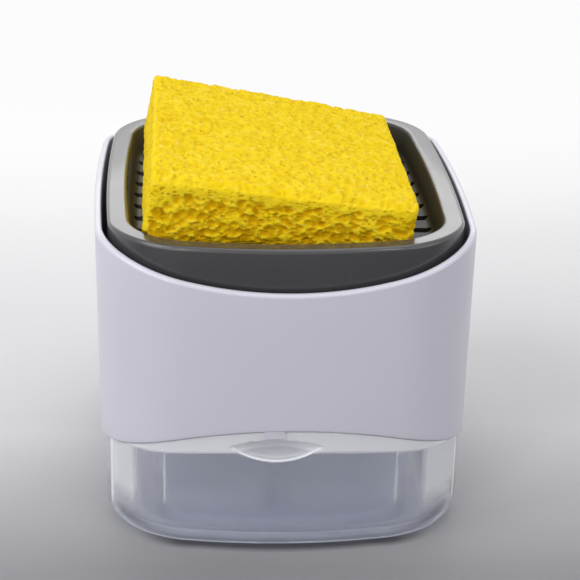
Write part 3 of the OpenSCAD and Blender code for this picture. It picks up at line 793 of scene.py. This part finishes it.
def make_sponge():
    """Cellulose sponge: a soft-edged block with open pores, leaning in the well."""
    width, length, thick = 72, 101, 13.6
    left, front, turn, press, lay_gap = 3, 2.4, 1.1, 0.2, 0.3
    edge = np.array([1.7, 1.7, 1.4])
    cell = np.array([0.4, 0.62, 0.3])
    deepest_pore = 1.4
    half = np.array([width, length, thick]) / 2
    counts = tuple(int(round(c)) for c in 2 * half / cell)
    shares, faces = box_shell(counts)
    flat = shares * half
    core = np.clip(flat, edge - half, half - edge)
    lean = (flat - core) / edge
    normal = lean / np.maximum(np.linalg.norm(lean, axis=1, keepdims=True), 1e-9)
    points = core + normal * edge
    random = np.random.default_rng(11)
    finder = kdtree.KDTree(len(points))
    for i, p in enumerate(points):
        finder.insert(p, i)
    finder.balance()
    depth = np.zeros(len(points))

    def press_pores(count, axis, way, sizes, flatness, deepest, skew=1.0, wall=0.5, turned_by=0.0):
        """Ellipsoid pores on one face; smaller ones are more common."""
        inset, rarity, shallowest, wobble, spread, grip = 0.6, 2.6, 0.35, 0.35, 0.3, 1.6
        for _ in range(count):
            centre = random.uniform(-1, 1, 3) * (half - inset)
            centre[axis] = way * half[axis]
            if axis != 2:
                centre[2] = half[2] * (1.5 * random.random() ** skew - 0.95)
            a = sizes[0] + (sizes[1] - sizes[0]) * random.random() ** rarity
            b = a * random.uniform(*flatness)
            deep = deepest * (shallowest + (1 - shallowest) * a / sizes[1]) * random.uniform(0.6, 1)
            spin = turned_by + random.normal(0, wobble)
            long_axis = np.zeros(3)
            short_axis = np.zeros(3)
            u, v = [k for k in range(3) if k != axis]
            long_axis[u], long_axis[v] = math.cos(spin), math.sin(spin)
            short_axis[u], short_axis[v] = -math.sin(spin), math.cos(spin)
            near = [i for _, i, _ in finder.find_range(centre, a + spread)]
            if not near:
                continue
            near = np.array(near)
            gap = points[near] - centre
            reach = (gap @ long_axis / a) ** 2 + (gap @ short_axis / b) ** 2
            facing = normal[near][:, axis] * way
            dent = deep * np.clip(1 - reach, 0, 1) ** wall * np.clip(facing * grip, 0, 1)
            depth[near] = np.maximum(depth[near], dent)

    for way in (-1, 1):
        press_pores(1150, 1, way, (0.4, 1.6), (0.4, 0.66), 1.05, 1.5)
        press_pores(900, 0, way, (0.4, 1.3), (0.4, 0.7), 0.9 if way > 0 else 0.3, 1.3)
    press_pores(3600, 2, 1, (0.5, 1.9), (0.5, 0.85), 0.78, wall=0.9, turned_by=math.pi / 2)
    press_pores(900, 2, -1, (0.4, 1.3), (0.45, 0.8), 0.42, wall=0.8)
    waves = ((0.11, 0.4), (0.5, 0.22), (1.2, 0.14))
    swell = [sum(noise.noise(Vector(p) * scale) * height for scale, height in waves) for p in points]
    points = points + normal * (np.array(swell) - depth)[:, None]

    # Lifted at its left side, soft along its front and sagging at its lower left edge
    lift_left, lift_right = (3.0, 3.2), (3.3, -0.8)
    soft_length, front_drop, sag_share, side_share, right_out = 5, 1.2, 0.45, 0.14, 0.4
    across, along, up = (flat / half * 0.5 + 0.5).T
    left_lift = lift_left[0] + along * (lift_left[1] - lift_left[0])
    right_lift = lift_right[0] + along * (lift_right[1] - lift_right[0])
    points[:, 2] += up * (left_lift + across * (right_lift - left_lift))
    front_soft = 1 - np.sqrt(1 - np.clip(1 - along * length / soft_length, 0, 1) ** 2)
    points[:, 2] -= up**2 * front_soft * front_drop
    sag = 3.6 - 2.4 * along
    points[:, 2] -= (1 - up) * np.clip(1 - across / sag_share, 0, 1) * sag
    left_side = np.clip(1 - across / side_share, 0, 1)
    low_out, top_out = 2.2 * along - 0.3, 1.6 * along - 1.2
    points[:, 0] -= left_side * ((1 - up) * low_out + up * top_out)
    points[:, 0] += np.clip(1 - (1 - across) / side_share, 0, 1) * right_out

    # Laid on the well's right side and on the nozzle's dome
    low_edge = np.array([width / 2 - left, well_z + lay_gap - press])
    cap_high = corners("nozzle_cap")[1]
    dome_rise = cap_high.z - well_z
    dome_r = (cap_high.x**2 + dome_rise**2) / (2 * dome_rise)
    to_edge = (low_edge[0], low_edge[1] - cap_high.z + dome_r)
    tilt = math.asin((dome_r + lay_gap) / math.hypot(*to_edge)) - math.atan2(to_edge[1], to_edge[0])
    place = (
        Matrix.Translation((0, -front, 0))
        @ Matrix.Rotation(math.radians(-turn), 4, "Z")
        @ Matrix.Translation((low_edge[0], 0, low_edge[1]))
        @ Matrix.Rotation(tilt, 4, "Y")
        @ Matrix.Translation((-width / 2, 0, thick / 2))
    )
    points = points @ np.array(place.to_3x3()).T + np.array(place.translation)
    points[:, 2] = np.maximum(points[:, 2], well_height(points[:, 0], points[:, 1]) + lay_gap)
    sponge = mesh_object("sponge_block", points, faces)
    carried = {"pore": depth / deepest_pore, "side": 1 - np.abs(normal[:, 2])}
    for name, values in carried.items():
        attribute = sponge.data.attributes.new(name, "FLOAT", "POINT")
        attribute.data.foreach_set("value", np.clip(values, 0, 1).astype(np.float32))
    for face in sponge.data.polygons:
        face.use_smooth = True
    return sponge


# Geometry Nodes


class Shape:
    """A Geometry Nodes tree that makes one piece."""

    def __init__(self, name, **sizes):
        self.tree = bpy.data.node_groups.new(name, "GeometryNodeTree")
        self.name = name
        self.values = {}
        for key, value in sizes.items():
            kind = "NodeSocketInt" if isinstance(value, int) else "NodeSocketFloat"
            socket = self.tree.interface.new_socket(key, in_out="INPUT", socket_type=kind)
            self.values[socket.identifier] = value
        self.tree.interface.new_socket("Geometry", in_out="OUTPUT", socket_type="NodeSocketGeometry")
        self.inputs = self.tree.nodes.new("NodeGroupInput")
        self.out = self.tree.nodes.new("NodeGroupOutput")

    def size(self, key):
        return self.inputs.outputs[key]

    def add(self, kind, settings=None, sockets=None):
        node = self.tree.nodes.new(kind)
        for key, value in (settings or {}).items():
            setattr(node, key, value)
        for key, value in (sockets or {}).items():
            if isinstance(value, bpy.types.NodeSocket):
                self.tree.links.new(value, node.inputs[key])
            else:
                node.inputs[key].default_value = value
        return node

    def finish(self, geometry, material):
        """Realizes the tree and returns it as a plain mesh object."""
        real = self.add("GeometryNodeRealizeInstances", None, {"Geometry": geometry})
        painted = self.add("GeometryNodeSetMaterial", None, {"Geometry": real.outputs[0]})
        painted.inputs["Material"].default_value = material
        self.tree.links.new(painted.outputs[0], self.out.inputs[0])
        piece = mesh_object(self.name, [(0, 0, 0)], [])
        modifier = piece.modifiers.new("shape", "NODES")
        modifier.node_group = self.tree
        for identifier, value in self.values.items():
            modifier[identifier] = value
        return baked(piece)


def make_spring(material):
    """Return spring: a wire that runs round the coil's helix, closed flat at both ends."""
    low, high = corners("pump_spring")
    wire_r, flat_turns = 0.45, 0.5
    shape = Shape(
        "return_spring", Radius=(high.x - wire_r) * MM, Wire=wire_r * MM,
        Height=(high.z - low.z - 2 * wire_r) * MM, Turns=6.0, Steps=288,
    )
    steps = shape.add("GeometryNodeMeshLine", None, {"Count": shape.size("Steps")})
    index = shape.add("GeometryNodeInputIndex")

    def number(operation, a, b=0.0):
        return shape.add("ShaderNodeMath", {"operation": operation}, {0: a, 1: b}).outputs[0]

    share = number("DIVIDE", index.outputs[0], number("SUBTRACT", shape.size("Steps"), 1.0))
    turn = number("MULTIPLY", share, shape.size("Turns"))
    angle = number("MULTIPLY", turn, 2 * math.pi)
    rise = shape.add("ShaderNodeMapRange", {"clamp": True}, {
        "Value": turn, "From Min": flat_turns,
        "From Max": number("SUBTRACT", shape.size("Turns"), flat_turns),
        "To Min": (low.z + wire_r) * MM,
        "To Max": number("ADD", shape.size("Height"), (low.z + wire_r) * MM),
    })
    spot = shape.add("ShaderNodeCombineXYZ", None, {
        "X": number("MULTIPLY", number("COSINE", angle), shape.size("Radius")),
        "Y": number("MULTIPLY", number("SINE", angle), shape.size("Radius")),
        "Z": rise.outputs[0],
    })
    placed = shape.add("GeometryNodeSetPosition", None, {
        "Geometry": steps.outputs[0], "Position": spot.outputs[0]})
    line = shape.add("GeometryNodeMeshToCurve", None, {"Mesh": placed.outputs[0]})
    section = shape.add("GeometryNodeCurvePrimitiveCircle", None, {
        "Radius": shape.size("Wire"), "Resolution": 12})
    wire = shape.add("GeometryNodeCurveToMesh", None, {
        "Curve": line.outputs[0], "Profile Curve": section.outputs[0], "Fill Caps": True})
    return smooth(shape.finish(wire.outputs[0], material))


def make_collar():
    """Screw collar that holds the pump on the lid's neck."""
    low, high = corners("pump_collar")
    plate_t, boss_r, edge_r, hole_edge_r = 2, 6.5, 0.6, 0.3
    outer_r = high.x - grip_out
    inner_r = outer_r - collar_wall
    profile = bend(outer_r - edge_r, low.z + edge_r, edge_r, -90, 0, 4)
    profile += bend(outer_r - edge_r, high.z - edge_r, edge_r, 0, 90, 5)
    profile += bend(boss_r + hole_edge_r, high.z - hole_edge_r, hole_edge_r, 90, 180, 3)
    profile += [(boss_r, high.z - plate_t), (inner_r, high.z - plate_t), (inner_r, low.z)]
    return smooth(turned("collar_ring", profile))


def make_collar_grips(material):
    """Upright grip ribs round the screw collar."""
    low, high = corners("pump_collar")
    rib_w, margin = 1.2, 1.2
    rib_d = grip_out + collar_wall / 2
    shape = Shape(
        "collar_grips", Radius=(high.x - rib_d / 2) * MM, Count=32, Width=rib_w * MM,
        Depth=rib_d * MM, Height=(high.z - low.z - 2 * margin) * MM,
    )
    size = shape.add("ShaderNodeCombineXYZ", None, {
        "X": shape.size("Depth"), "Y": shape.size("Width"), "Z": shape.size("Height")})
    rib = shape.add("GeometryNodeMeshCube", None, {"Size": size.outputs[0]})
    circle_points = shape.add("GeometryNodeMeshCircle", None, {
        "Vertices": shape.size("Count"), "Radius": shape.size("Radius")})
    spot = shape.add("GeometryNodeInputPosition")
    turn = shape.add("FunctionNodeAlignRotationToVector", {"axis": "X"}, {"Vector": spot.outputs[0]})
    ribs = shape.add("GeometryNodeInstanceOnPoints", None, {
        "Points": circle_points.outputs[0], "Instance": rib.outputs[0], "Rotation": turn.outputs[0]})
    raised = shape.add("GeometryNodeTransform", None, {
        "Geometry": ribs.outputs[0], "Translation": (0, 0, (low.z + high.z) / 2 * MM)})
    return smooth(shape.finish(raised.outputs[0], material))


# Finishes

PAINT = {
    # The well's three colours are painted light: an olive reflection of the sponge on its left wall,
    # shade on its right wall, light on its bars
    "tray_plastic": moulded_plastic(
        "tray_plastic", rgb(0.046, 0.044, 0.047), rgb(0.040, 0.038, 0.042), 0.24, coat=0.3,
        well=(rgb(0.13, 0.11, 0.034), rgb(0.027, 0.025, 0.015), rgb(0.3, 0.295, 0.27))),
    "sleeve_plastic": moulded_plastic(
        "sleeve_plastic", rgb(0.62, 0.605, 0.69), rgb(0.60, 0.585, 0.67), 0.34, coat=0.15),
    "white_plastic": moulded_plastic(
        "white_plastic", rgb(0.86, 0.86, 0.88), rgb(0.82, 0.82, 0.85), 0.36),
    "black_rubber": moulded_plastic(
        "black_rubber", rgb(0.02, 0.02, 0.022), rgb(0.014, 0.014, 0.016), 0.6),
    "natural_plastic": soft_translucent(
        "natural_plastic", rgb(0.86, 0.88, 0.9), rgb(0.8, 0.83, 0.86), 0.35, 0.35),
    "silicone": soft_translucent(
        "silicone", rgb(0.82, 0.84, 0.87), rgb(0.74, 0.77, 0.81), 0.5, 0.4),
    "steel": drawn_steel("steel"),
    "clear_plastic": clear_plastic(),
    "sponge": cellulose(),
}


def paint(piece, material):
    piece.data.materials.clear()
    piece.data.materials.append(material)


def seat(piece, body, slot, *nodes):
    """Paints a piece with its slot's finish and lets it ride in place of the named nodes."""
    paint(piece, PAINT[slot])
    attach(piece, body)
    if nodes:
        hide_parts(*nodes)
    return piece


for part in frame["record"]["subparts"]:
    paint(frame["nodes"][part["node"]], PAINT[part["material_slot"]])

seat(make_tank(), "tank_unit", "clear_plastic", "tank")
seat(make_sleeve(), "upper_unit", "sleeve_plastic", "sleeve")
seat(make_tank_seal(), "upper_unit", "silicone", "tank_seal")
seat(make_tray(), "press_tray", "tray_plastic", "tray")
seat(make_collar(), "upper_unit", "white_plastic", "pump_collar")
seat(make_collar_grips(PAINT["white_plastic"]), "upper_unit", "white_plastic")
sponge = seat(make_sponge(), "sponge_pad", "sponge", "sponge")
spring = seat(make_spring(PAINT["steel"]), "upper_unit", "steel", "pump_spring")
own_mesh(spring)


# Stage, light and camera


def make_floor():
    """Pale floor that sweeps up into a white backdrop behind the caddy."""
    reach, back, bend_r, height = 1600, 420, 500, 1500
    profile = [(-reach, 0), (back, 0)]
    profile += [(back + bend_r * math.sin(t), bend_r * (1 - math.cos(t)))
                for t in np.linspace(0, math.pi / 2, 24)[1:]]
    profile += [(back + bend_r, height)]
    points = [(x, y, z) for y, z in profile for x in (-reach, reach)]
    faces = [(2 * i, 2 * i + 1, 2 * i + 3, 2 * i + 2) for i in range(len(profile) - 1)]
    floor = mesh_object("floor", points, faces)
    finish = Finish("pale_floor", Roughness=0.6)
    x = finish.place.split("X")
    y = x.other("Y")
    ragged = 0.03
    depth = finish.noise(9, 2) * ragged + y - ragged / 2
    # Light falls off towards the camera. Each row is a start, an end and the tone past it
    tone = rgb(0.5, 0.5, 0.51)
    for start, end, past in (
        (-0.6, -0.14, rgb(0.15, 0.15, 0.16)),
        (-0.125, -0.075, rgb(0.24, 0.24, 0.255)),
        (-0.075, 0.01, rgb(0.59, 0.59, 0.605)),
        (0.02, 0.34, rgb(0.9, 0.9, 0.905)),
    ):
        tone = finish.mix(finish.band(depth, start, end), tone, past)
    # Painted light gathers under the clear tank, and a painted contact shadow lies along the front of
    # its foot
    foot_shadow_out, shadow_half, shadow_core, shadow_darkness = -0.005, 0.004, 0.001, 0.8
    out = finish.outwards()
    aside = finish.band(abs(x), 0.03, 0.041)
    painted_gathered_light = finish.mix(aside, rgb(0.92, 0.94, 1.0), rgb(0.95, 0.95, 0.97))
    tone = finish.mix(finish.band(out, -0.008, -0.012), tone, painted_gathered_light)
    painted_foot_shadow = finish.band(abs(out - foot_shadow_out), shadow_half, shadow_core, 0, shadow_darkness) * (1 - aside)
    finish.feed("Base Color", finish.mix(painted_foot_shadow, tone, rgb(0.03, 0.03, 0.035)))
    finish.bump(finish.noise(260, 3), 0.02)
    glow = finish.add("Emission", None, {"Color": rgb(1, 1, 1), "Strength": 0.97})
    finish.blend(finish.band(y, 0.2, 0.4) * finish.band(seen_rays(finish.tree), 0, 1), glow)
    paint(floor, finish.material)


def aim(thing, place, target):
    """Puts a lamp at a place, in millimetres, facing a target."""
    thing.location = Vector(place) * MM
    thing.rotation_euler = (Vector(target) - Vector(place)).to_track_quat("-Z", "Y").to_euler()


def softbox(name, place, target, width, height, watts):
    lamp = bpy.data.lights.new(name, "AREA")
    lamp.shape = "RECTANGLE"
    lamp.size = width * MM
    lamp.size_y = height * MM
    lamp.energy = watts
    box = bpy.data.objects.new(name, lamp)
    bpy.context.scene.collection.objects.link(box)
    box.visible_camera = False
    aim(box, place, target)


def make_world():
    world = bpy.data.worlds.new("studio")
    world.use_nodes = True
    bpy.context.scene.world = world
    tree = world.node_tree
    sky = tree.nodes["Background"]
    sky.inputs["Color"].default_value = rgb(1, 1, 1)
    seen = seen_rays(tree)
    plug(tree, sky.inputs["Strength"], seen.math("MINIMUM", seen, 1) * 0.5 + 0.5)


def make_camera():
    """Camera at the photograph's viewing angle."""
    yaw, pitch, roll = 0.0684801, 0.3697886, 0.0212873
    distance, aside, above, target_z = 576.018, -3.958, -0.610, 50
    focal_share = 1940.57 / 580
    ahead = Vector((math.sin(yaw) * math.cos(pitch), math.cos(yaw) * math.cos(pitch), -math.sin(pitch)))
    level = Vector((math.cos(yaw), -math.sin(yaw), 0))
    upright = level.cross(ahead)
    right = math.cos(roll) * level + math.sin(roll) * upright
    up = -math.sin(roll) * level + math.cos(roll) * upright
    place = Vector((0, 0, target_z)) - aside * right - above * up - distance * ahead
    data = bpy.data.cameras.new("camera")
    data.sensor_width = 36
    data.lens = focal_share * data.sensor_width
    camera = bpy.data.objects.new("camera", data)
    bpy.context.scene.collection.objects.link(camera)
    turn = Matrix((right, up, -ahead)).transposed()
    camera.matrix_world = Matrix.Translation(place * MM) @ turn.to_4x4()
    bpy.context.scene.camera = camera


make_floor()
make_world()
softbox("back_panel", (0, 880, 430), (0, 0, 87), 1000, 330, 2.15)
softbox("key_left", (-650, -250, 800), (0, 0, 50), 500, 500, 3.1)
softbox("fill_top", (150, 100, 1000), (0, 0, 50), 700, 700, 1.8)
softbox("front_left", (-620, -640, 330), (0, 0, 40), 800, 620, 2.45)
softbox("front_right", (760, -420, 300), (0, 0, 40), 600, 600, 1.25)
softbox("strip_left", (-260, -520, 520), (0, 0, 80), 60, 260, 0.35)
softbox("strip_right", (300, -500, 520), (0, 0, 80), 60, 260, 0.35)
make_camera()
bpy.context.scene.view_settings.view_transform = "Standard"
